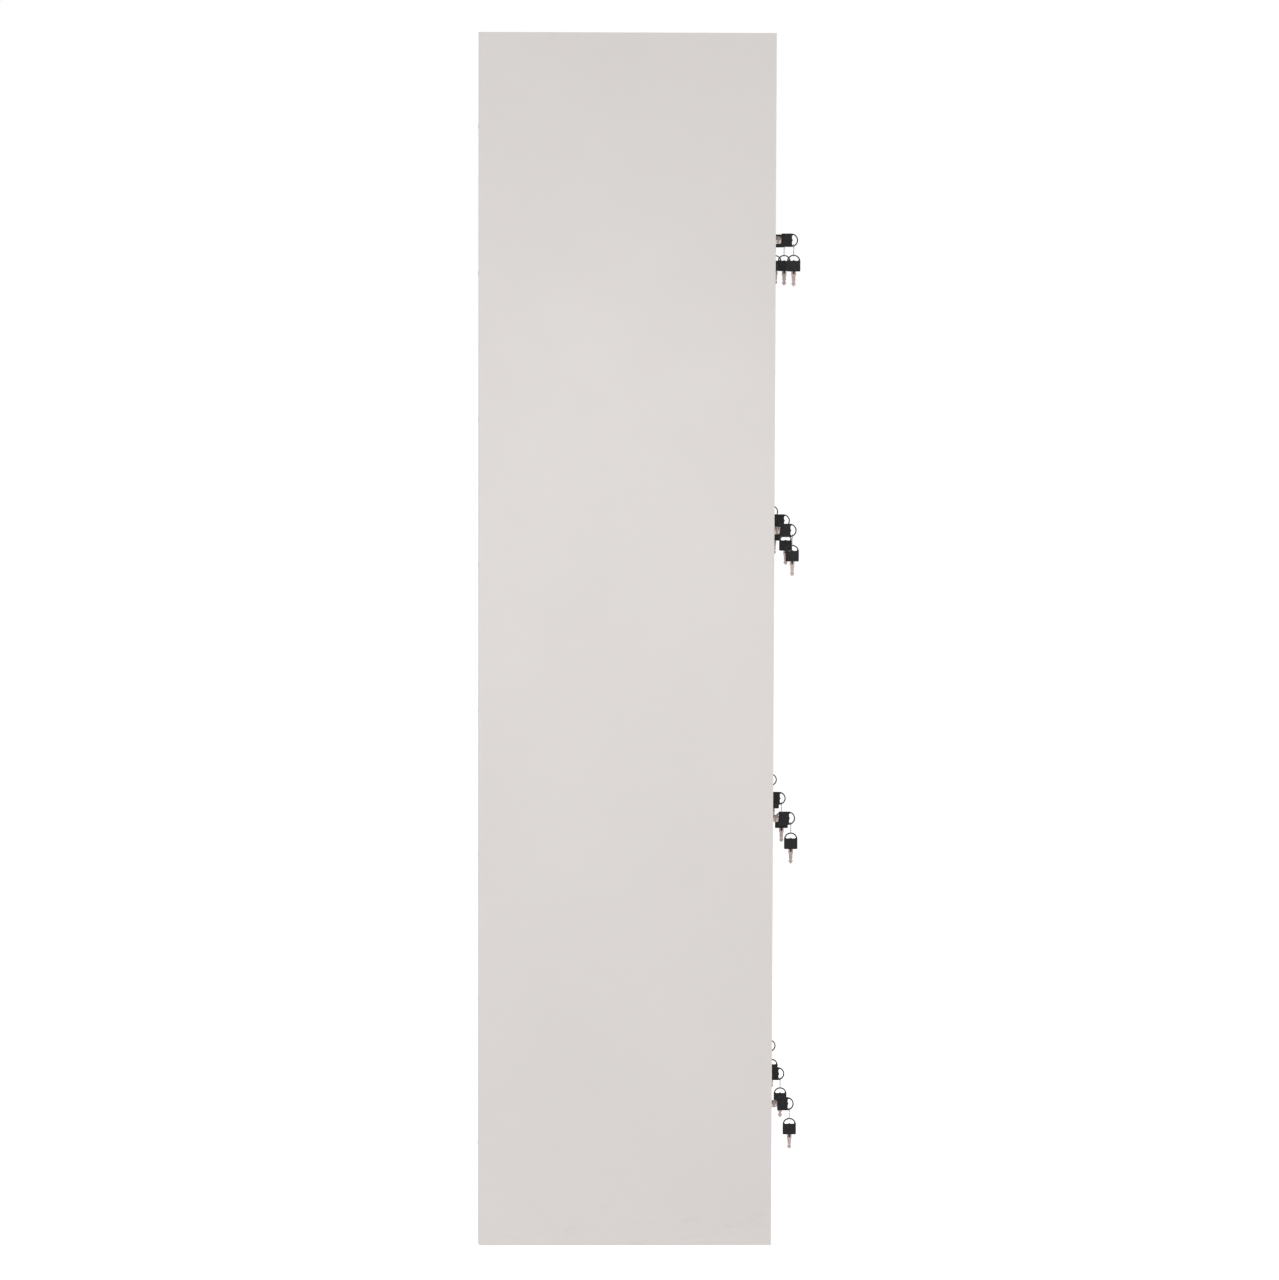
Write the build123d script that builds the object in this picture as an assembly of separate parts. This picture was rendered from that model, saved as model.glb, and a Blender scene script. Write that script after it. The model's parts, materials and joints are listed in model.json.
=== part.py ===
from build123d import *
import os
from math import sqrt

# A twelve-door steel parcel locker: three columns of four compartments.
# Millimetres. X runs across the front, Y from the front (-) to the back (+), Z up.
# The origin is on the floor, in the middle of the cabinet's footprint.

os.makedirs("parts", exist_ok=True)

# Overall size
width = 900.0
depth = 450.0
height = 1850.0
columns = 3
rows = 4

# Sheet steel
sheet = 1.0
bend = 1.2             # centre-line radius of every fold
flange = 15.0          # width of the welded fixing flanges
foot_radius = 5.0      # rounded lower rear corner of each side panel

# Front frame
stile = 18.0           # face width of each side panel's front edge
post = 24.0            # face width of each partition's front edge
plinth = 48.5          # floor to the middle of the lowest door gap
header = 31.5          # middle of the highest door gap to the top
door_gap = 3.5         # height of the gap above and below every door
side_gap = 2.0         # gap beside every door
stop_lip = 14.0        # height of the folded lip that each door closes against

# Doors
door_depth = 18.0
return_lip = 8.0       # folded edge behind each side of a door
door_clearance = 3.0   # behind a closed door, for the swing of its rear corner
stiffener_width = 44.0
stiffener_depth = 14.0
stiffener_foot = 10.0
stiffener_margin = 20.0

# Hinges
pivot_inset = 7.0      # pin axis to the door's side edge
pivot_setback = 4.0    # pin axis to the door's face
pin_radius = 2.5
pin_clearance = 0.05
pin_reach = 10.0       # pin length inside a door
plate_thickness = 1.5
plate_overhang = 5.0   # hinge plate beyond the pin's axis
plate_margin = 0.5     # hinge plate behind the door's face
plate_depth = 11.0

# Louvres and card holder
louvre_count = 5
louvre_length = 110.0
louvre_pitch = 14.0
louvre_height = 8.0
louvre_rise = 3.2
louvre_wall = 0.8
louvre_top = 42.0      # door top to the highest louvre
holder_width = 66.0
holder_height = 36.0
holder_depth = 2.6
holder_rim = 4.0
holder_drop = 142.0    # door top to the holder's centre
card_thickness = 0.5

# Locks
lock_inset = 30.0      # lock axis to the door's free edge
lock_height = 162.5    # lock axis above the row's lower boundary
plug_radius = 6.0
plug_clearance = 0.05
barrel_radius = 8.0
bezel_radius = 9.5
bezel_depth = 2.0
nose = 4.5             # plug's front end ahead of the door's face
nut_across = 22.0
nut_depth = 4.0
lip_overhang = 0.5     # frame lip behind the back of a closed door
cam_gap = 0.5          # cam behind the frame's lip
cam_thickness = 2.0
cam_width = 14.0
cam_hook = 5.0         # cam's reach past the lip
cam_spigot = 3.0
screw_radius = 4.5
screw_head = 3.0

# Keys
blade_width = 6.0
blade_thickness = 2.0
blade_length = 16.6
blade_point = 3.0
blade_root = 8.0       # blade buried in the head
neck_width = 7.4
neck_length = 6.2
cut_radius = 2.2
cut_pitch = 4.6
keyway_clearance = 0.2
head_width = 20.5
head_length = 25.5
head_thickness = 3.6
head_rounding = 0.7
head_corner = 1.5      # corners of the head beside the blade
rim = 1.8
eye_length = 7.4
eye_corner = 2.0
eye_bump = 2.5
eye_bump_rise = 1.0
eye_dimple = 0.8       # rounding each side of the bump
loose_key = 5          # this compartment's key isn't pushed fully home
loose_key_gap = 4.5

# Key rings
wire_radius = 0.45
ring_setback = 6.6     # ring behind the tip of the key's bow
hang_gap = 11.8        # clear height between the two key heads
ring_clearance = 0.25

# Rear fixings
anchor_radius = 4.0
anchor_drop = 60.0     # wall anchor below the shelf above it
rivet_radius = 2.0
rivet_head = 3.4
rivet_height = 0.4
rivet_tail = 2.5
rivets_per_row = 2     # rivets up each side of every compartment
bumper_radius = 4.5
bumper_depth = 2.6

# Planes and spacings that follow from the sizes above
fold = bend - sheet / 2               # inner radius of every fold
front = -depth / 2
back = depth / 2
side = width / 2
top = height - sheet
column_pitch = (width - 2 * stile + post) / columns
opening = column_pitch - post
row_pitch = (height - plinth - header) / rows
door_back = front + door_depth
lip_back = door_back + lip_overhang
frame_back = door_back + door_clearance
liner = back - 2 * sheet              # front face of the back panel
plinth_top = plinth - door_gap / 2
floor_top = plinth_top + sheet
header_bottom = height - header + door_gap / 2
lock_face = front - nose
cam_front = lip_back + cam_gap
cam_back = cam_front + cam_thickness


def block(x, y, z):
    """A box between the low and high values given for each axis."""
    size = [high - low for low, high in (x, y, z)]
    middle = [(high + low) / 2 for low, high in (x, y, z)]
    return Pos(*middle) * Box(*size)


def rod(x, z, radius, y):
    """A round bar along Y between two planes."""
    return Pos(x, (y[0] + y[1]) / 2, z) * Rot(90, 0, 0) * Cylinder(radius, y[1] - y[0])


def post_bar(x, y, radius, z):
    """A round bar along Z between two heights."""
    return Pos(x, y, (z[0] + z[1]) / 2) * Cylinder(radius, z[1] - z[0])


def folded_column(points, z):
    """Folded sheet with an upright profile, given on its centre line."""
    profile = trace(FilletPolyline(*points, radius=bend), sheet)
    return Pos(0, 0, z[0]) * extrude(profile, amount=z[1] - z[0])


def folded_rail(points, x):
    """Folded sheet that runs across the cabinet, its (y, z) profile on the centre line."""
    profile = trace(FilletPolyline(*points, radius=bend), sheet)
    return Pos(x[0], 0, 0) * extrude(Plane.YZ * profile, amount=x[1] - x[0])


def boundary(row):
    """Height of the middle of the gap below a row, counted from the bottom."""
    return plinth + row * row_pitch


def opening_left(column):
    """Left side of a door opening, counted from the left."""
    return -side + stile + column * column_pitch


def bay(column):
    """Inner left and right faces of a column of compartments."""
    left = -side + sheet if column == 0 else opening_left(column) - post + sheet
    right = side - sheet if column == columns - 1 else opening_left(column) + opening
    return left, right


def compartments():
    """Number, column and row of each compartment, from the top left."""
    for number in range(1, columns * rows + 1):
        column = (number - 1) % columns
        row = rows - 1 - (number - 1) // columns
        yield number, column, row


def lock_place(column, row):
    """Where a lock's axis crosses the door, as x and z."""
    return opening_left(column) + side_gap + lock_inset, boundary(row) + lock_height


def pivot_x(column):
    """X of the hinge axis of a column of doors."""
    return opening_left(column) + opening - side_gap - pivot_inset


def rivet_places():
    """X and z of each rivet along the rear flanges."""
    step = row_pitch / rivets_per_row
    for hand in (-1, 1):
        for index in range(rows * rivets_per_row):
            yield hand * (side - flange / 2), plinth + (index + 0.5) * step


def anchor_places():
    """X and z of the four wall anchors."""
    for hand in (-1, 1):
        for row in (2, rows):
            yield hand * column_pitch * (columns - 1) / 2, boundary(row) - anchor_drop


def side_panel():
    """The left side: skin, front stile with its return lip, and rear flange."""
    skin = -side + sheet / 2
    lip = -side + stile - sheet / 2
    face = front + sheet / 2
    rear = back - sheet / 2
    path = [(lip, lip_back), (lip, face), (skin, face), (skin, rear), (-side + flange, rear)]
    panel = folded_column(path, (0, height))
    panel -= block((-side + sheet, side), (front, back), (top, height))
    corner = block((-side, 0), (back - foot_radius, back), (0, foot_radius))
    round_bar = Pos(-side / 2, back - foot_radius, foot_radius) * Rot(0, 90, 0)
    corner -= round_bar * Cylinder(foot_radius, side)
    panel -= corner
    for x, z in rivet_places():
        panel -= rod(x, z, rivet_radius, (liner, back))
    return panel


def back_panel():
    """Flat sheet inside the rear flanges, with the wall anchor holes."""
    reach = side - sheet - fold
    panel = block((-reach, reach), (liner, liner + sheet), (sheet, top))
    for x, z in rivet_places():
        panel -= rod(x, z, rivet_radius, (liner, back))
    for x, z in anchor_places():
        panel -= rod(x, z, anchor_radius, (liner, back))
    return panel


def top_panel():
    """Top sheet folded down into the header, its rebate and the door stop."""
    face = front + sheet / 2
    stop = frame_back + sheet / 2
    ledge = header_bottom + sheet / 2
    lip_end = ledge - stop_lip
    roof = top + sheet / 2
    path = [(liner, roof), (face, roof), (face, ledge), (stop, ledge), (stop, lip_end)]
    panel = folded_rail(path, (-side + stile, side - stile))
    reach = side - sheet
    for low, high in ((-reach, -side + stile), (side - stile, reach)):
        panel += block((low, high), (front + bend, liner), (top, height))
    for low in (-reach, reach - sheet):
        panel += block((low, low + sheet), (lip_back + sheet, liner), (top - flange, top))
    panel += block((-reach, reach), (liner, back), (top, height))
    return panel


def base_panel():
    """Floor of the lowest compartments, with side and front flanges turned down."""
    reach = side - sheet
    panel = block((-reach, reach), (frame_back, liner), (plinth_top, floor_top))
    low = plinth_top - flange
    for x in (-reach, reach - sheet):
        panel += block((x, x + sheet), (frame_back, liner), (low, plinth_top))
    panel += block((-reach, reach), (frame_back, frame_back + sheet), (low, plinth_top))
    return panel


def base_frame():
    """Kick plate joined to the flat ring that the locker stands on."""
    face = front + sheet / 2
    inner = side - stile
    foot = sheet / 2
    path = [(frame_back, plinth_top - foot), (face, plinth_top - foot), (face, foot)]
    path.append((front + flange, foot))
    frame = folded_rail(path, (-inner, inner))
    reach = side - sheet
    rear = back - foot_radius - sheet
    for low in (-reach, reach - flange):
        frame += block((low, low + flange), (lip_back + sheet, rear), (0, sheet))
    frame += block((-reach, reach), (lip_back + sheet, lip_back + flange), (0, sheet))
    frame += block((-inner, inner), (front + flange, lip_back + flange), (0, sheet))
    frame += block((-reach, reach), (rear - flange, rear), (0, sheet))
    return frame


def partition(column):
    """Divider to the right of a column: web, front face, return lip and rear flange."""
    left = opening_left(column) + opening
    web = left + sheet / 2
    lip = left + post - sheet / 2
    face = front + sheet / 2
    rear = liner - sheet / 2
    path = [(lip, lip_back), (lip, face), (web, face), (web, rear), (web + flange, rear)]
    divider = folded_column(path, (plinth_top, top))
    reach = (left, left + post)
    divider -= block(reach, (front, frame_back + sheet), (header_bottom - fold, top))
    stop_end = header_bottom + sheet / 2 - stop_lip
    divider -= block(reach, (frame_back, frame_back + sheet), (stop_end, top))
    divider -= block(reach, (frame_back, liner), (plinth_top, floor_top))
    return divider


def shelf(column, row):
    """Shelf under a compartment: flat tray with flanges turned down all round."""
    left, right = bay(column)
    middle = boundary(row)
    upper = middle + sheet / 2
    lower = upper - stop_lip
    rear = liner - sheet - fold
    tray = block((left, right), (frame_back, rear), (lower, upper))
    tray = fillet(tray.faces().sort_by(Axis.Z)[-1].edges().sort_by(Axis.Y)[0], bend)
    inside = (left + sheet, right - sheet)
    between = (frame_back + sheet, rear - sheet)
    return tray - block(inside, between, (lower, upper - sheet))


def hinge_pivot(column, index):
    """Plate welded to the frame, with a riveted pin for the door above and below."""
    x = pivot_x(column)
    y = front + pivot_setback
    z = boundary(index)
    frame_side = opening_left(column) + opening
    plate_front = front + plate_margin
    span_y = (plate_front, plate_front + plate_depth)
    span_z = (z - plate_thickness / 2, z + plate_thickness / 2)
    plate = block((x - plate_overhang, frame_side), span_y, span_z)
    reach = door_gap / 2 + pin_reach
    low = z if index == 0 else z - reach
    high = z if index == rows else z + reach
    return plate + post_bar(x, y, pin_radius, (low, high))


def louvre(x, z):
    """Pressed hood, open at its lower edge, as the shell and the space under it."""
    hood_points = [(front, z), (front - louvre_rise, z - louvre_height), (front, z - louvre_height)]
    hood_face = Plane.YZ * make_face(Polyline(*hood_points, close=True))
    hood = Pos(x - louvre_length / 2, 0, 0) * extrude(hood_face, amount=louvre_length)
    slope = louvre_rise / louvre_height
    rise = louvre_rise - louvre_wall
    high = z - louvre_wall / slope
    inner_back = front + sheet
    space_points = [
        (inner_back, high),
        (front, high),
        (front - rise, high - rise / slope),
        (inner_back, high - rise / slope),
    ]
    space_face = Plane.YZ * make_face(Polyline(*space_points, close=True))
    span = louvre_length - 2 * louvre_wall
    space = Pos(x - span / 2, 0, 0) * extrude(space_face, amount=span)
    return hood, space


def door_pan(column, row):
    """Folded door: face, four walls, side return lips, louvres, lock and pin holes."""
    left = opening_left(column) + side_gap
    right = opening_left(column) + opening - side_gap
    low = boundary(row) + door_gap / 2
    high = boundary(row + 1) - door_gap / 2
    pan = block((left, right), (front, door_back), (low, high))
    pan = fillet(pan.faces().sort_by(Axis.Y)[0].edges(), bend)
    walls = (low + sheet, high - sheet)
    pan -= block((left + sheet, right - sheet), (front + sheet, door_back), walls)
    for x in (left + sheet, right - sheet - return_lip):
        pan += block((x, x + return_lip), (door_back - sheet, door_back), walls)
    middle = (left + right) / 2
    for index in range(louvre_count):
        hood, space = louvre(middle, high - louvre_top - index * louvre_pitch)
        pan = pan + hood - space
    x, z = lock_place(column, row)
    pan -= rod(x, z, barrel_radius, (front, door_back))
    hole = pin_radius + pin_clearance
    pan -= post_bar(pivot_x(column), front + pivot_setback, hole, (low, high))
    return pan


def door_stiffener(column, row):
    """Hat-section channel welded inside the door, below the louvres."""
    middle = opening_left(column) + opening / 2
    inner = front + sheet * 3 / 2
    crest = inner + stiffener_depth
    half = stiffener_width / 2
    foot = half + stiffener_foot
    path = [(-foot, inner), (-half, inner), (-half, crest)]
    path += [(half, crest), (half, inner), (foot, inner)]
    low = boundary(row) + stiffener_margin
    louvre_zone = louvre_top + louvre_count * louvre_pitch
    high = boundary(row + 1) - louvre_zone - stiffener_margin
    return Pos(middle, 0, 0) * folded_column(path, (low, high))


def card_holder(column, row):
    """Raised frame that holds the compartment's card, and the blank card in it."""
    middle = opening_left(column) + opening / 2
    z = boundary(row + 1) - door_gap / 2 - holder_drop
    half = (holder_width / 2, holder_height / 2)
    span_x = (middle - half[0], middle + half[0])
    holder = block(span_x, (front - holder_depth, front), (z - half[1], z + half[1]))
    holder = fillet(holder.edges().filter_by(Axis.Y), holder_rim / 2)
    window_x = (span_x[0] + holder_rim, span_x[1] - holder_rim)
    window_z = (z - half[1] + holder_rim, z + half[1] - holder_rim)
    holder -= block(window_x, (front - holder_depth, front), window_z)
    card = block(window_x, (front - card_thickness, front), window_z)
    return [holder, card]


def lock_body(column, row):
    """Barrel and bezel fixed in the door, and the nut behind the door's face."""
    x, z = lock_place(column, row)
    bore = plug_radius + plug_clearance
    bezel = rod(x, z, bezel_radius, (front - bezel_depth, front))
    rounded = bezel.edges().filter_by(GeomType.CIRCLE).sort_by(Axis.Y)[0]
    bezel = fillet(rounded, bezel_depth / 2)
    body = bezel + rod(x, z, barrel_radius, (front, door_back))
    body -= rod(x, z, bore, (front - bezel_depth, door_back))
    nut_face = front + sheet
    outline = RegularPolygon(nut_across / 2, 6, major_radius=False)
    nut = extrude(outline - Circle(barrel_radius), amount=nut_depth)
    nut = Pos(x, nut_face, z) * Rot(-90, 0, 0) * nut
    return [body, nut]


def lock_core(column, row):
    """Turning plug with its keyway, the cam on its end and the cam's screw."""
    x, z = lock_place(column, row)
    plug = rod(x, z, plug_radius, (lock_face, cam_front))
    front_edge = plug.edges().filter_by(GeomType.CIRCLE).sort_by(Axis.Y)[0]
    plug = fillet(front_edge, plug_clearance * 10)
    plug += rod(x, z, cam_spigot, (cam_front, cam_back))
    half_slot = blade_width / 2 + keyway_clearance
    slot_x = blade_thickness / 2 + keyway_clearance
    slot_end = lock_face + blade_length + keyway_clearance
    plug -= block((x - slot_x, x + slot_x), (lock_face, slot_end), (z - half_slot, z + half_slot))
    reach = lock_inset + side_gap + sheet + cam_hook
    half = cam_width / 2
    tip = z + reach - half
    cam = block((x - half, x + half), (cam_front, cam_back), (z, tip))
    cam += rod(x, z, half, (cam_front, cam_back))
    cam += rod(x, tip, half, (cam_front, cam_back))
    cam -= rod(x, z, cam_spigot, (cam_front, cam_back))
    head = extrude(RegularPolygon(screw_radius, 6), amount=screw_head)
    screw = Pos(x, cam_back, z) * Rot(-90, 0, 0) * head
    return [plug, cam, screw]


def key_blade():
    """Double-bitted blade along +Y, its shoulder at the origin and its root in the head."""
    half = blade_width / 2
    tip = blade_length - blade_point
    outline = Polyline(
        (-neck_length - blade_root, -half),
        (-neck_length - blade_root, half),
        (tip, half),
        (blade_length, 0),
        (tip, -half),
        close=True,
    )
    flat = make_face(outline)
    flat += Pos(-neck_length / 2, 0) * Rectangle(neck_length, neck_width)
    for index in range(1, 3):
        for edge in (-1, 1):
            depth_of_cut = half + cut_radius - 0.5 * index
            flat -= Pos(index * cut_pitch, edge * depth_of_cut) * Circle(cut_radius)
    return extrude(Plane.YZ * flat, amount=blade_thickness / 2, both=True)


def key_head():
    """Moulded head with a domed bow and a kidney-shaped eye, on the YZ plane."""
    inner = -neck_length
    tip = inner - head_length
    half = head_width / 2
    dome = tip + half
    body = Pos((dome + inner) / 2, 0) * Rectangle(inner - dome, head_width)
    body = fillet(body.vertices().group_by(Axis.X)[-1], head_corner)
    eye_edge = tip + rim + eye_length
    eye = Pos(dome, 0) * Circle(half - rim)
    eye -= Pos(eye_edge + half, 0) * Rectangle(head_width, head_width)
    eye = fillet(eye.vertices(), eye_corner)
    eye -= Pos(eye_edge + eye_bump - eye_bump_rise, 0) * Circle(eye_bump)
    bump_ends = eye.vertices().filter_by(lambda v: abs(v.Y) < eye_bump).group_by(Axis.X)[-1]
    eye = fillet(bump_ends, eye_dimple)
    flat = body + Pos(dome, 0) * Circle(half) - eye
    head = extrude(Plane.YZ * flat, amount=head_thickness / 2, both=True)
    rims = head.faces().filter_by(Axis.X).edges()
    return fillet(rims, head_rounding)


def key_pair():
    """Head and blade of a key that points along +Y."""
    blade = key_blade()
    return [key_head() - blade, blade]


def bow_bar():
    """Centre height and half height of the bow's rim where the ring crosses it."""
    half = head_width / 2
    offset = half - ring_setback
    outer = sqrt(half**2 - (offset - wire_radius) ** 2)
    inner = sqrt((half - rim) ** 2 - (offset + wire_radius) ** 2)
    return -(outer + inner) / 2, (outer - inner) / 2


def key_place(number, column, row):
    """Where a key's shoulder rests: on the plug's face, or short of it on the loose key."""
    x, z = lock_place(column, row)
    pull = loose_key_gap if number == loose_key else 0
    return x, lock_face - pull, z


def spare_set(number, column, row):
    """Ring through the bow of the key in the lock, and the spare key hanging on it."""
    x, y, z = key_place(number, column, row)
    ring_y = y - neck_length - head_length + ring_setback
    bar_centre, bar_half = bow_bar()
    reach = sqrt((head_thickness / 2 - head_rounding) ** 2 + (bar_half - head_rounding) ** 2)
    ring_top = bar_centre + reach + head_rounding + ring_clearance
    bow_top = -head_width / 2 - hang_gap
    ring_bottom = bow_top - rim - ring_clearance
    middle = (ring_top + ring_bottom) / 2
    ring_radius = (ring_top - ring_bottom) / 2 + wire_radius
    ring = Pos(x, ring_y, z + middle) * Rot(90, 0, 0) * Torus(ring_radius, wire_radius)
    shoulder = bow_top - head_length - neck_length
    hang = Pos(x, ring_y, z + shoulder) * Rot(-90, 0, 0)
    return [ring] + [hang * piece for piece in key_pair()]


def rear_rivets():
    """Dome-headed rivets through the rear flanges and the back panel."""
    rivets = []
    for x, z in rivet_places():
        shank = rod(x, z, rivet_radius, (liner - rivet_tail, back))
        head = rod(x, z, rivet_head, (back, back + rivet_height))
        rounded = head.edges().filter_by(GeomType.CIRCLE).sort_by(Axis.Y)[-1]
        rivets.append(shank + fillet(rounded, rivet_height * 3 / 4))
    return rivets


def door_bumpers():
    """Rubber buttons on the stop lips, one behind the top of each door."""
    buttons = []
    for number, column, row in compartments():
        x = lock_place(column, row)[0]
        z = boundary(row + 1) - door_gap / 2 - stop_lip / 2 + sheet / 2
        button = rod(x, z, bumper_radius, (frame_back - bumper_depth, frame_back))
        buttons.append(button)
    return buttons


def write(name, pieces):
    """Write one node, a single solid or a group of separate ones."""
    group = pieces if isinstance(pieces, list) else [pieces]
    solids = [solid for piece in group for solid in piece.solids()]
    shape = solids[0] if len(solids) == 1 else Compound(children=solids)
    export_step(shape, f"parts/{name}.step")


left_panel = side_panel()
write("left_side_panel", left_panel)
write("right_side_panel", mirror(left_panel, about=Plane.YZ))
write("back_panel", back_panel())
write("top_panel", top_panel())
write("base_panel", base_panel())
write("base_frame", base_frame())
for column in range(columns - 1):
    write(f"partition_{column + 1}", partition(column))
write("shelves", [shelf(c, r) for c in range(columns) for r in range(1, rows)])
write("hinge_pivots", [hinge_pivot(c, i) for c in range(columns) for i in range(rows + 1)])
write("rear_rivets", rear_rivets())
write("door_bumpers", door_bumpers())

for number, column, row in compartments():
    panel = [door_pan(column, row), door_stiffener(column, row)]
    fittings = card_holder(column, row) + lock_body(column, row)
    write(f"door_{number:02d}", panel + fittings)
    write(f"lock_{number:02d}", lock_core(column, row))
    in_lock = Pos(*key_place(number, column, row))
    write(f"key_{number:02d}", [in_lock * piece for piece in key_pair()])
    write(f"spare_key_{number:02d}", spare_set(number, column, row))
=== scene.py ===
"""Looks, light and camera for the twelve-door steel parcel locker.

Metres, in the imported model's frame: +Z up, doors on the -Y side, X along the front.
"""

import json
import math
import bmesh
import bpy
from mathutils import Matrix, Vector

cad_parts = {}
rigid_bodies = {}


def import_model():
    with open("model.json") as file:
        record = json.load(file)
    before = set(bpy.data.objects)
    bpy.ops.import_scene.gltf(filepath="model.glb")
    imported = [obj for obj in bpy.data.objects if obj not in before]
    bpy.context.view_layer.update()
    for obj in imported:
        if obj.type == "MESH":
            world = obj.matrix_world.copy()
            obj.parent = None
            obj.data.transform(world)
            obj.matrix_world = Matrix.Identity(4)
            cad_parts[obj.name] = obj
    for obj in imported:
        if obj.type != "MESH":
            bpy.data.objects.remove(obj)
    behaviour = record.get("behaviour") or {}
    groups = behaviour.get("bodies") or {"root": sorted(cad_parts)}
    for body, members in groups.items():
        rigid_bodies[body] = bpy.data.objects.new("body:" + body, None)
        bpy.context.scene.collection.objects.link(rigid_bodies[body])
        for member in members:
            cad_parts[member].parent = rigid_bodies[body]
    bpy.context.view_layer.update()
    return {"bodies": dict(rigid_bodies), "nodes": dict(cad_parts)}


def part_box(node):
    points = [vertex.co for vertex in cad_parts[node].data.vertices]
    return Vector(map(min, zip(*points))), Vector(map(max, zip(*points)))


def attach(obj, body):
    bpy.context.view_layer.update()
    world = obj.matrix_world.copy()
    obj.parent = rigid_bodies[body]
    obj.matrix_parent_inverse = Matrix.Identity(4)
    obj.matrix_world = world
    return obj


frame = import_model()

# Sizes that tell one solid of a node from another
BLADE_REACH = 0.0228        # blade and neck ahead of a key's head
RING_WIRE = 0.0009
BEZEL_RADIUS = 0.0098
NUT_RADIUS = 0.0135
NUT_FACE = 0.0008           # depth inside the door where the zinc nut begins
LOCK_INSET = 0.030          # lock axis to the door's free edge
LOCK_RISE = 0.16075         # lock axis above the door's lower edge
DOOR_DEPTH = 0.018
CARD_DEPTH = 0.0006
HOLDER_DROP = 0.142         # door's top edge to the card holder's centre
HOLDER_SIZE = (0.067, 0.037)
FACE_SKIN = 0.00005

# Moulded cheeks on both edges of a spare key's neck
CHEEK_LENGTH = 0.0042
CHEEK_HALF = 0.0038
CHEEK_SLOT = 0.0016
CHEEK_THICK = 0.0014
CHEEK_BEVEL = 0.0004

# Tube on the front of a lock's plug, round its key's neck
TUBE_LENGTH = 0.0054
TUBE_OUTER = 0.0055
TUBE_INNER = 0.00395
TUBE_BEVEL = 0.0004
TUBE_SEAT = 0.0002          # how far it sinks into the plug
TUBE_SIDES = 48

# Studio: the floor glows so that it stays as white as the surround
FLOOR_GLOW = 0.70
FLOOR_HALF = 60.0
WORLD_SEEN = 1.0
WORLD_GIVEN = 0.36

# Camera: where it stands, what it looks at, and how it is held
CAMERA_PLACE = (-8.2978, 0.1462, 1.5060)
CAMERA_AIM = (-0.45, -0.0203, 0.9313)
CAMERA_ROLL = math.radians(0.1677)
CAMERA_LENS = 145.52
SENSOR = 36.0


# ---------------------------------------------------------------- node helpers

class Shader:
    """A node material with a Principled shader and short ways to feed it."""

    def __init__(self, name, roughness, metallic=0.0, specular=0.5):
        self.material = bpy.data.materials.new(name)
        self.material.use_nodes = True
        self.tree = self.material.node_tree
        self.shader = self.tree.nodes["Principled BSDF"]
        self.shader.inputs["Roughness"].default_value = roughness
        self.shader.inputs["Metallic"].default_value = metallic
        self.shader.inputs["Specular IOR Level"].default_value = specular
        self.place = self.add("ShaderNodeTexCoord").outputs["Object"]

    def add(self, kind, **settings):
        node = self.tree.nodes.new(kind)
        for key, value in settings.items():
            setattr(node, key, value)
        return node

    def link(self, source, target):
        self.tree.links.new(source, target)

    def noise(self, scale, detail=3.0, roughness=0.55, stretch=(1, 1, 1)):
        """Fractal noise in the object's own space, features 1/scale metres across."""
        mapping = self.add("ShaderNodeMapping")
        mapping.inputs["Scale"].default_value = stretch
        self.link(self.place, mapping.inputs["Vector"])
        node = self.add("ShaderNodeTexNoise")
        node.inputs["Scale"].default_value = scale
        node.inputs["Detail"].default_value = detail
        node.inputs["Roughness"].default_value = roughness
        self.link(mapping.outputs["Vector"], node.inputs["Vector"])
        return node.outputs["Fac"]

    def remap(self, source, low, high, out_low, out_high, smooth=False):
        """Linear or smooth remap of a value, clamped."""
        node = self.add("ShaderNodeMapRange")
        node.interpolation_type = "SMOOTHSTEP" if smooth else "LINEAR"
        for key, value in zip(("From Min", "From Max", "To Min", "To Max"),
                              (low, high, out_low, out_high)):
            node.inputs[key].default_value = value
        self.link(source, node.inputs["Value"])
        return node.outputs["Result"]

    def math(self, operation, first, second):
        node = self.add("ShaderNodeMath", operation=operation)
        for socket, value in zip(node.inputs, (first, second)):
            if isinstance(value, (int, float)):
                socket.default_value = value
            else:
                self.link(value, socket)
        return node.outputs["Value"]

    def mix(self, factor, first, second):
        """Colour mix; each side is a colour or another node's output."""
        node = self.add("ShaderNodeMix", data_type="RGBA")
        self.link(factor, node.inputs["Factor"])
        for key, value in (("A", first), ("B", second)):
            socket = [s for s in node.inputs if s.name == key and s.type == "RGBA"][0]
            if isinstance(value, tuple):
                socket.default_value = (*value, 1.0)
            else:
                self.link(value, socket)
        return [s for s in node.outputs if s.type == "RGBA"][0]

    def axis(self, letter):
        node = self.add("ShaderNodeSeparateXYZ")
        self.link(self.place, node.inputs["Vector"])
        return node.outputs[letter]

    def colour(self, output):
        self.link(output, self.shader.inputs["Base Color"])

    def rough(self, output):
        self.link(output, self.shader.inputs["Roughness"])

    def bump(self, height, distance, strength=1.0):
        node = self.add("ShaderNodeBump")
        node.inputs["Strength"].default_value = strength
        node.inputs["Distance"].default_value = distance
        self.link(height, node.inputs["Height"])
        self.link(node.outputs["Normal"], self.shader.inputs["Normal"])


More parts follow.
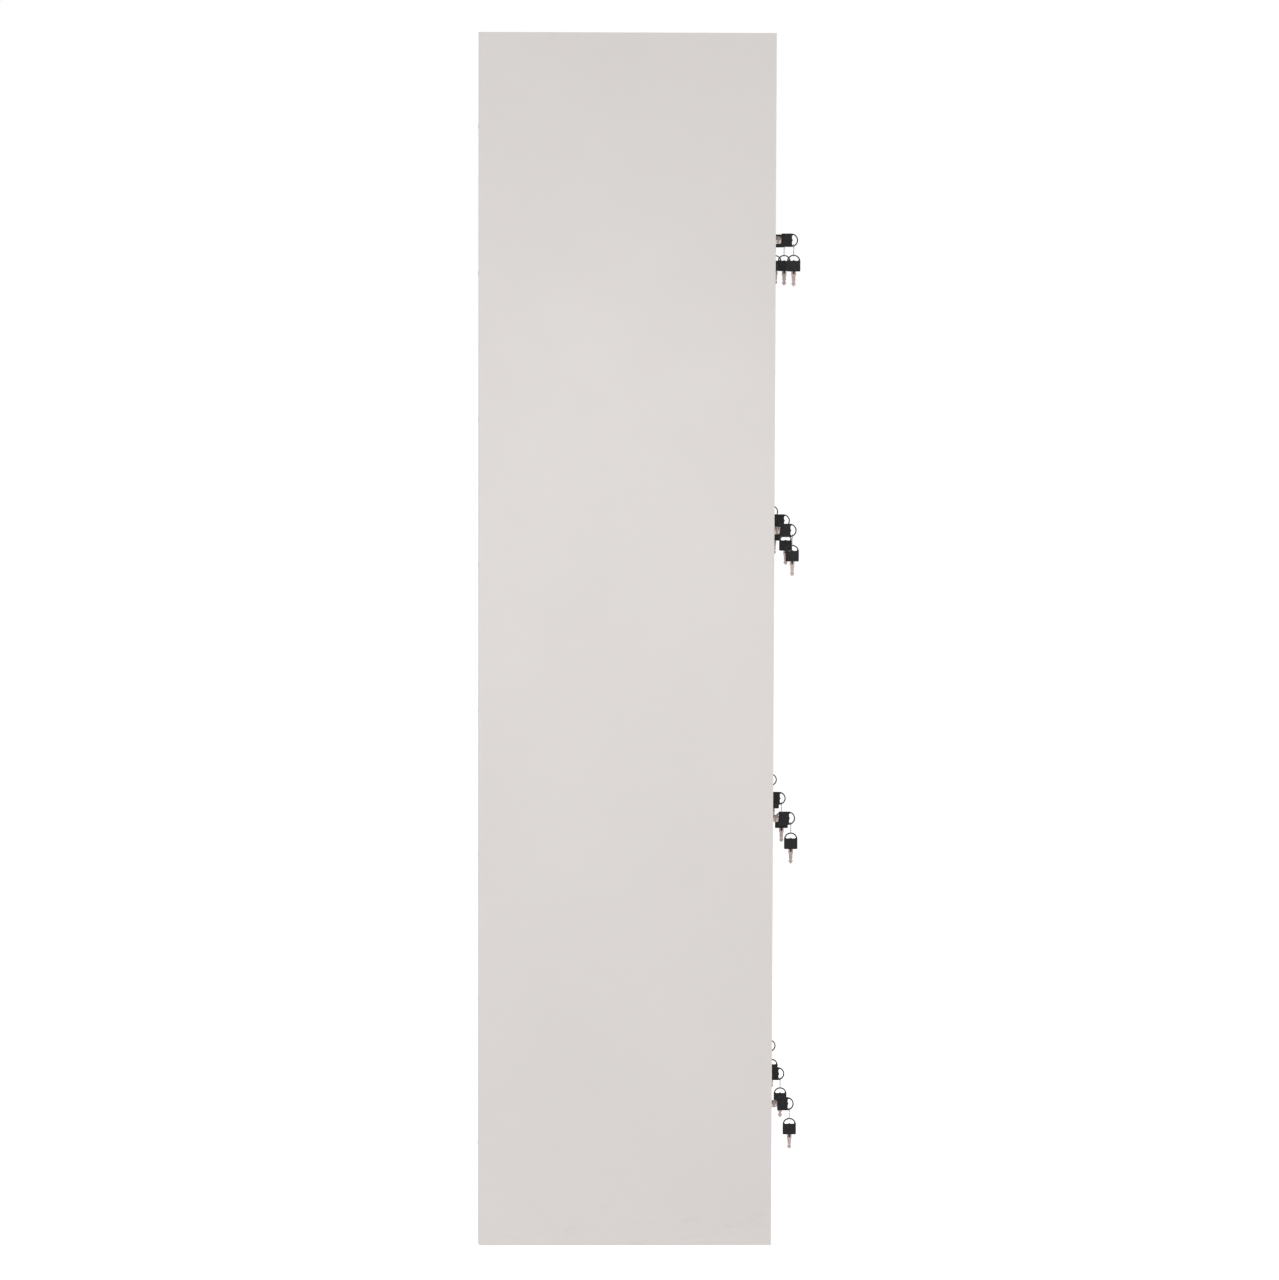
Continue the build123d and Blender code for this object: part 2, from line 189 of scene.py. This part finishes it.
def powder_coat(name, tint):
    """Light grey epoxy powder coat: orange-peel skin, cloudy tone, and painted shade in patches
    near the floor.
    """
    coat = Shader(name, 0.46, specular=0.42)
    light = tuple(min(1.0, value * 1.012) for value in tint)
    dark = tuple(value * 0.982 for value in tint)
    cloud = coat.remap(coat.noise(3.2, 4.0), 0.3, 0.7, 0.0, 1.0)
    tone = coat.mix(cloud, dark, light)
    speck = coat.remap(coat.noise(700.0, 2.0, 0.7), 0.62, 0.78, 0.0, 0.35)
    tone = coat.mix(speck, tone, tuple(value * 0.93 for value in tint))
    # Painted shade: the lowest 11 cm of the coat are darkened in noisy patches to stand in for
    # the shade near the floor.
    low = coat.remap(coat.axis("Z"), 0.0, 0.11, 1.0, 0.0, smooth=True)
    painted_floor_shade = coat.remap(coat.noise(26.0, 6.0, 0.72, (1, 1, 3.5)), 0.55, 0.75, 0.0, 0.5)
    tone = coat.mix(coat.math("MULTIPLY", low, painted_floor_shade), tone, tuple(v * 0.82 for v in tint))
    coat.colour(tone)
    coat.rough(coat.remap(coat.noise(11.0, 5.0), 0.3, 0.7, 0.41, 0.52))
    peel = coat.noise(430.0, 2.0, 0.5)
    wave = coat.math("MULTIPLY", coat.noise(9.0, 2.0), 6.0)
    coat.bump(coat.math("ADD", peel, wave), 0.00009, 0.55)
    return coat.material


def metal(name, tint, roughness, stretch, grain=900.0, wear=0.12):
    """Plated or bare metal with a drawn grain and a slightly uneven tarnish."""
    plate = Shader(name, roughness, metallic=1.0)
    tarnish = plate.remap(plate.noise(160.0, 4.0, 0.6), 0.35, 0.7, 0.0, 1.0)
    dull = tuple(value * (1.0 - 2.4 * wear) for value in tint)
    plate.colour(plate.mix(tarnish, tint, dull))
    lines = plate.noise(grain, 3.0, 0.6, stretch)
    plate.rough(plate.remap(lines, 0.3, 0.7, roughness * 0.8, roughness * 1.3))
    plate.bump(lines, 0.00002, 0.6)
    return plate.material


def moulded(name, tint, roughness, grain=1500.0):
    """Moulded plastic, rubber or card: fine even grain and faint handling marks."""
    skin = Shader(name, roughness, specular=0.45)
    marks = skin.remap(skin.noise(240.0, 5.0, 0.7), 0.4, 0.75, 0.0, 1.0)
    skin.colour(skin.mix(marks, tint, tuple(min(1.0, v * 1.18 + 0.002) for v in tint)))
    skin.rough(skin.remap(marks, 0.0, 1.0, roughness * 0.9, min(1.0, roughness * 1.15)))
    skin.bump(skin.noise(grain, 2.0), 0.00003, 0.5)
    return skin.material


def key_material(name, axis, edge, sign):
    """Black moulded head on one side of a plane, nickel blade on the other."""
    key = Shader(name, 0.4, specular=0.22)
    across = key.math("SUBTRACT", key.axis(axis), edge)
    blade = key.math("GREATER_THAN", key.math("MULTIPLY", across, sign), 0.0)
    marks = key.remap(key.noise(240.0, 5.0, 0.7), 0.4, 0.75, 0.0, 1.0)
    plastic = key.mix(marks, (0.0125, 0.0112, 0.0118), (0.019, 0.017, 0.018))
    brass = key.mix(marks, (0.47, 0.385, 0.365), (0.36, 0.285, 0.265))
    key.colour(key.mix(blade, plastic, brass))
    key.link(blade, key.shader.inputs["Metallic"])
    key.rough(key.remap(blade, 0.0, 1.0, 0.46, 0.3))
    key.bump(key.noise(1300.0, 2.0), 0.00003, 0.5)
    return key.material


# ------------------------------------------------------------- CAD node colours

def paint(node, materials, choose):
    """Gives each polygon of a CAD node one of the materials; choose takes its centre."""
    mesh = frame["nodes"][node].data
    mesh.materials.clear()
    for material in materials:
        mesh.materials.append(material)
    for polygon in mesh.polygons:
        polygon.material_index = choose(polygon.center)


def paint_door(node, coat, nickel, zinc, holder, card):
    """Coated pan and stiffener, nickel lock barrel, zinc nut, card holder and its card."""
    low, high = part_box(node)
    face = high[1] - DOOR_DEPTH
    lock = (low[0] + LOCK_INSET, low[2] + LOCK_RISE)
    middle = ((low[0] + high[0]) / 2, high[2] - HOLDER_DROP)

    def choose(centre):
        away = math.hypot(centre[0] - lock[0], centre[2] - lock[1])
        if away < BEZEL_RADIUS:
            return 1
        if away < NUT_RADIUS and centre[1] > face + NUT_FACE:
            return 2
        inside = all(abs(centre[k] - m) < s / 2 for k, m, s in zip((0, 2), middle, HOLDER_SIZE))
        if inside and centre[1] < face - FACE_SKIN:
            return 4 if centre[1] > face - CARD_DEPTH else 3
        return 0

    paint(node, (coat, nickel, zinc, holder, card), choose)


def paint_key(node, made):
    """A key in its lock: the blade starts a fixed reach from its tip."""
    edge = round(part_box(node)[1][1] - BLADE_REACH, 5)
    if edge not in made:
        made[edge] = key_material(f"key_{len(made)}", "Y", edge, 1.0)
    paint(node, (made[edge],), lambda centre: 0)


def paint_spare(node, made, wire):
    """A hanging key, blade down, and the ring it hangs from."""
    low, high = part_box(node)
    radius = (high[0] - low[0]) / 2
    middle = ((high[0] + low[0]) / 2, (high[1] + low[1]) / 2, high[2] - radius)
    edge = round(low[2] + BLADE_REACH, 5)
    if edge not in made:
        made[edge] = key_material(f"spare_{len(made)}", "Z", edge, -1.0)

    def choose(centre):
        away = math.hypot(centre[0] - middle[0], centre[2] - middle[2])
        on_ring = radius - RING_WIRE * 1.2 < away < radius + RING_WIRE * 0.2
        return 1 if on_ring and abs(centre[1] - middle[1]) < RING_WIRE * 0.6 else 0

    paint(node, (made[edge], wire), choose)


def rounded_bar(bm, low, high, bevel):
    """Adds one box with softly rounded edges to a mesh in the making."""
    made = bmesh.ops.create_cube(bm, size=1.0)["verts"]
    size = [b - a for a, b in zip(low, high)]
    middle = [(a + b) / 2 for a, b in zip(low, high)]
    bmesh.ops.scale(bm, vec=size, verts=made)
    bmesh.ops.translate(bm, vec=middle, verts=made)
    edges = list({edge for vertex in made for edge in vertex.link_edges})
    bmesh.ops.bevel(bm, geom=edges, offset=bevel, segments=3, affect="EDGES", profile=0.5)


def added_piece(name, bm, material, body):
    """Turns a mesh in the making into an object that rides on a body."""
    mesh = bpy.data.meshes.new(name)
    bm.to_mesh(mesh)
    bm.free()
    for polygon in mesh.polygons:
        polygon.use_smooth = True
    mesh.materials.append(material)
    piece = bpy.data.objects.new(name, mesh)
    bpy.context.collection.objects.link(piece)
    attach(piece, body)


def key_cheeks(body, material):
    """Moulded cheeks on both edges of a hanging key's neck, just under the head."""
    low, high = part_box(body)
    middle = ((low[0] + high[0]) / 2, (low[1] + high[1]) / 2)
    top = low[2] + BLADE_REACH
    bm = bmesh.new()
    for hand in (-1, 1):
        sides = sorted((middle[0] + hand * CHEEK_SLOT, middle[0] + hand * CHEEK_HALF))
        rounded_bar(bm, (sides[0], middle[1] - CHEEK_THICK, top - CHEEK_LENGTH),
                    (sides[1], middle[1] + CHEEK_THICK, top), CHEEK_BEVEL)
    added_piece(f"{body}_cheeks", bm, material, body)


def lock_tube(lock, key, material):
    """Nickel tube on the front of a lock's plug, round the neck of its key."""
    low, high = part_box(key)
    axis = ((low[0] + high[0]) / 2, (low[2] + high[2]) / 2)
    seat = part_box(lock)[0][1]
    front = seat - TUBE_LENGTH
    profile = ((TUBE_INNER, seat + TUBE_SEAT), (TUBE_INNER, front + TUBE_BEVEL),
               (TUBE_INNER + TUBE_BEVEL, front), (TUBE_OUTER - TUBE_BEVEL, front),
               (TUBE_OUTER, front + TUBE_BEVEL), (TUBE_OUTER, seat + TUBE_SEAT))
    bm = bmesh.new()
    rings = []
    for step in range(TUBE_SIDES):
        angle = 2 * math.pi * step / TUBE_SIDES
        across, up = math.cos(angle), math.sin(angle)
        rings.append([bm.verts.new((axis[0] + r * across, y, axis[1] + r * up))
                      for r, y in profile])
    for ring, after in zip(rings, rings[1:] + rings[:1]):
        for k in range(len(profile)):
            j = (k + 1) % len(profile)
            bm.faces.new((ring[k], ring[j], after[j], after[k]))
    bmesh.ops.recalc_face_normals(bm, faces=bm.faces)
    added_piece(f"{lock}_tube", bm, material, lock)


def added_details(plastic, nickel):
    """Cheeks on every spare key and a tube on every lock."""
    for body in frame["bodies"]:
        if body.startswith("spare_key_"):
            key_cheeks(body, plastic)
        elif body.startswith("lock_"):
            lock_tube(body, body.replace("lock", "key"), nickel)


def dress_cabinet():
    """Materials for every CAD node."""
    # One off-white coat in two copies: the cabinet's is darker as painted shade of the side
    # panel, and the doors' is lighter as painted light on the door fronts.
    coat = powder_coat("powder_coat", (0.706, 0.671, 0.651))
    door_coat_painted_lighter = powder_coat("powder_coat_door", (0.80, 0.785, 0.775))
    zinc = metal("zinc_plate", (0.62, 0.62, 0.61), 0.36, (1, 1, 6))
    nickel = metal("nickel_plate", (0.58, 0.50, 0.47), 0.27, (1, 8, 1), 1200.0)
    wire = metal("ring_wire", (0.70, 0.68, 0.68), 0.22, (1, 1, 1), 1500.0, 0.06)
    rubber = moulded("bumper_rubber", (0.022, 0.022, 0.022), 0.72)
    holder = moulded("card_holder", (0.34, 0.34, 0.335), 0.42)
    card = moulded("blank_card", (0.86, 0.85, 0.80), 0.8, 2200.0)
    in_lock = {}
    hanging = {}
    plain = {"hinge_pivots": zinc, "rear_rivets": zinc, "door_bumpers": rubber}
    for node in frame["nodes"]:
        if node.startswith("door_") and node != "door_bumpers":
            paint_door(node, door_coat_painted_lighter, nickel, zinc, holder, card)
        elif node.startswith("lock_"):
            paint(node, (nickel,), lambda centre: 0)
        elif node.startswith("key_"):
            paint_key(node, in_lock)
        elif node.startswith("spare_key_"):
            paint_spare(node, hanging, wire)
        else:
            paint(node, (plain.get(node, coat),), lambda centre: 0)
    added_details(moulded("key_cheeks", (0.021, 0.0165, 0.0155), 0.45), nickel)


# ------------------------------------------------------------------ studio

def floor():
    """Plain pale studio floor, which isn't part of the object."""
    mesh = bpy.data.meshes.new("studio_floor")
    half = FLOOR_HALF
    corners = [(-half, -half, 0), (half, -half, 0), (half, half, 0), (-half, half, 0)]
    mesh.from_pydata(corners, [], [(0, 1, 2, 3)])
    plane = bpy.data.objects.new("studio_floor", mesh)
    bpy.context.collection.objects.link(plane)
    pale = Shader("studio_floor", 0.95, specular=0.0)
    cloud = pale.remap(pale.noise(0.6, 2.0), 0.3, 0.7, 0.0, 1.0)
    pale.colour(pale.mix(cloud, (0.93, 0.93, 0.93), (0.95, 0.95, 0.95)))
    pale.shader.inputs["Emission Color"].default_value = (1, 1, 1, 1)
    pale.shader.inputs["Emission Strength"].default_value = FLOOR_GLOW
    mesh.materials.append(pale.material)


def area_light(name, place, aim, size, power):
    """A soft rectangular light aimed at a point."""
    data = bpy.data.lights.new(name, "AREA")
    data.shape = "RECTANGLE"
    data.size, data.size_y = size
    data.energy = power
    light = bpy.data.objects.new(name, data)
    light.visible_camera = False
    light.location = place
    light.rotation_euler = (Vector(aim) - Vector(place)).to_track_quat("-Z", "Y").to_euler()
    bpy.context.collection.objects.link(light)


def studio_world(seen, given):
    """White surround: one brightness to the camera, another as light."""
    world = bpy.data.worlds.new("studio")
    bpy.context.scene.world = world
    world.use_nodes = True
    tree = world.node_tree
    back = tree.nodes["Background"]
    back.inputs["Color"].default_value = (1, 1, 1, 1)
    path = tree.nodes.new("ShaderNodeLightPath")
    blend = tree.nodes.new("ShaderNodeMapRange")
    blend.inputs["To Min"].default_value = given
    blend.inputs["To Max"].default_value = seen
    tree.links.new(path.outputs["Is Camera Ray"], blend.inputs["Value"])
    tree.links.new(blend.outputs["Result"], back.inputs["Strength"])


def lights():
    """One broad light on the panel's middle, one on the doors, one high behind."""
    middle = (0, 0, 1.0)
    area_light("side_light", (-2.1, 0.35, 1.2), (-0.45, 0.05, 1.14), (1.1, 0.8), 7.2)
    area_light("door_light", (-1.6, -4.2, 2.4), middle, (2.4, 2.4), 34.0)
    area_light("rear_light", (1.8, 4.0, 2.8), middle, (2.4, 2.0), 26.0)


def camera():
    """A long lens beside the cabinet, a little above its top shelf, looking slightly down."""
    data = bpy.data.cameras.new("camera")
    data.sensor_fit = "AUTO"
    data.sensor_width = SENSOR
    data.lens = CAMERA_LENS
    data.clip_end = 200.0
    view = bpy.data.objects.new("camera", data)
    bpy.context.collection.objects.link(view)
    look = (Vector(CAMERA_AIM) - Vector(CAMERA_PLACE)).to_track_quat("-Z", "Y").to_matrix()
    turn = look.to_4x4() @ Matrix.Rotation(CAMERA_ROLL, 4, "Z")
    view.matrix_world = Matrix.Translation(CAMERA_PLACE) @ turn
    bpy.context.scene.camera = view


bpy.context.scene.view_settings.view_transform = "Standard"
camera()
dress_cabinet()
floor()
studio_world(WORLD_SEEN, WORLD_GIVEN)
lights()
